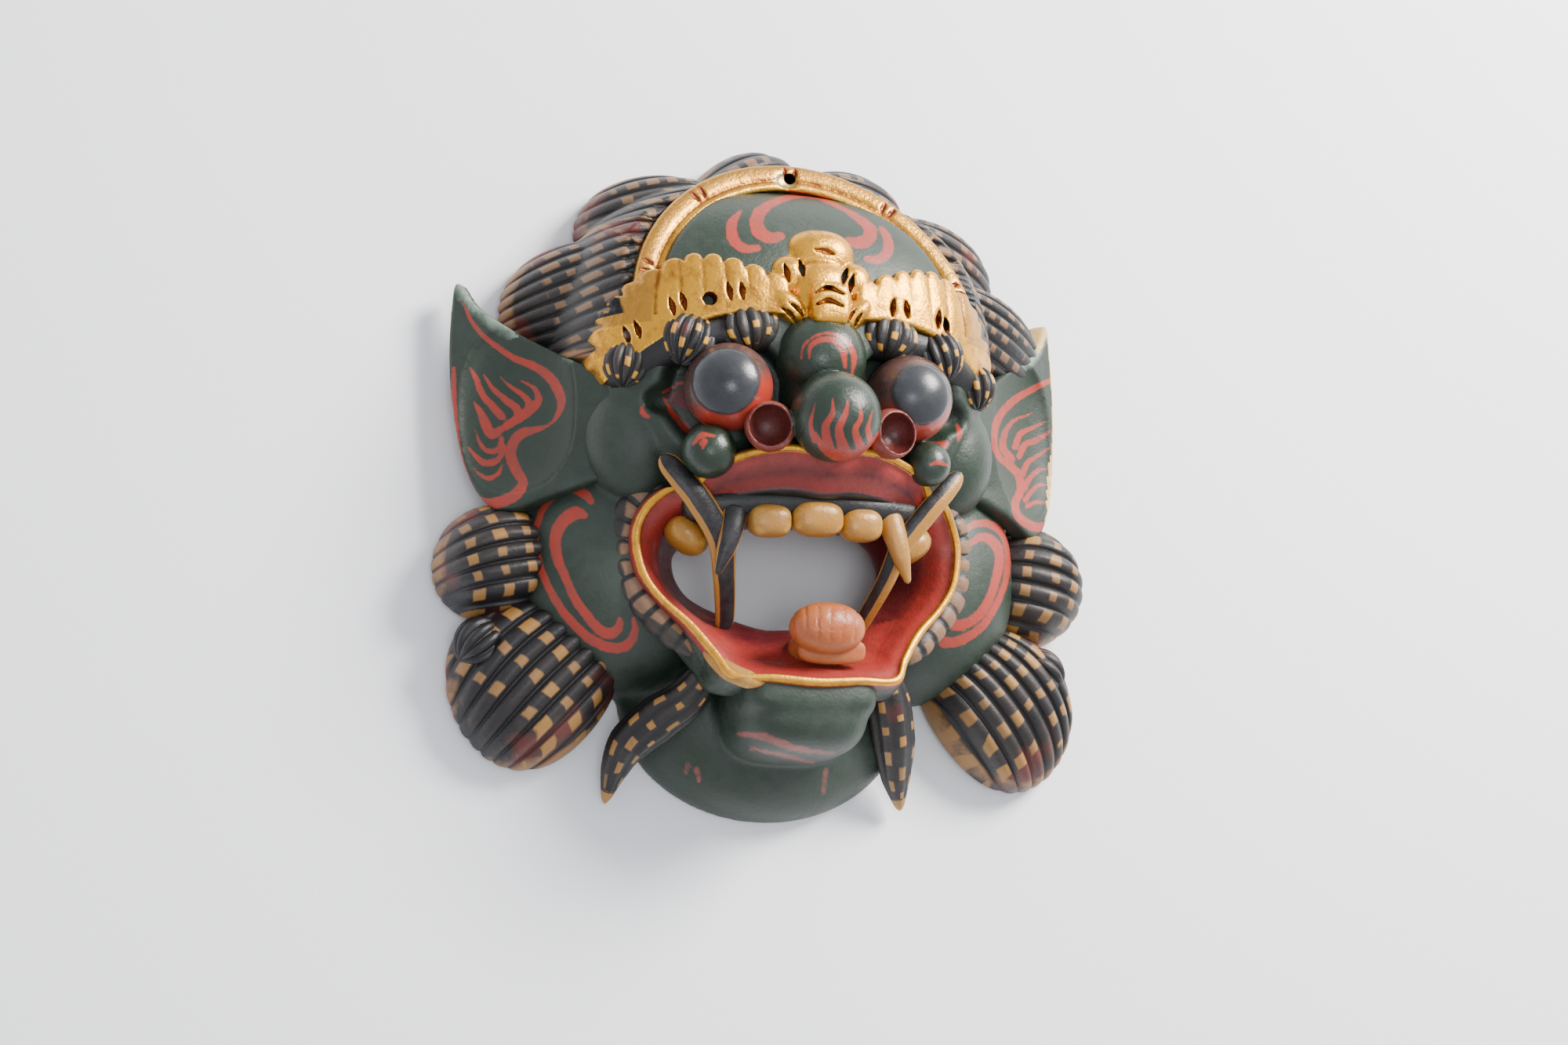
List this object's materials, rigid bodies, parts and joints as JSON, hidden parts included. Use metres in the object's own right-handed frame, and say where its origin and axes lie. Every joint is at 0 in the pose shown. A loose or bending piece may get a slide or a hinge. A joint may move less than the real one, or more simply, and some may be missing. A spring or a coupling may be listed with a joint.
{
  "type": "carved mask",
  "caption": "Carved and painted wooden barong mask with bulging eyes, open fanged mouth, pointed ears, gold diadem and ridged hair locks.",
  "frame": {"origin": "centre of the mask's width and height, on the plane of its flat back rim", "axes": "+Z out of the face, so the mask lies on its back; +Y towards the crown; +X to the viewer's right"},
  "size_m": [0.2429, 0.2437, 0.1015],
  "materials": {
    "painted_wood": "aged matt paint, dark green with red, black and worn gold"
  },
  "bodies": {
    "root": {"mask": "painted_wood"}
  },
  "joints": []
}
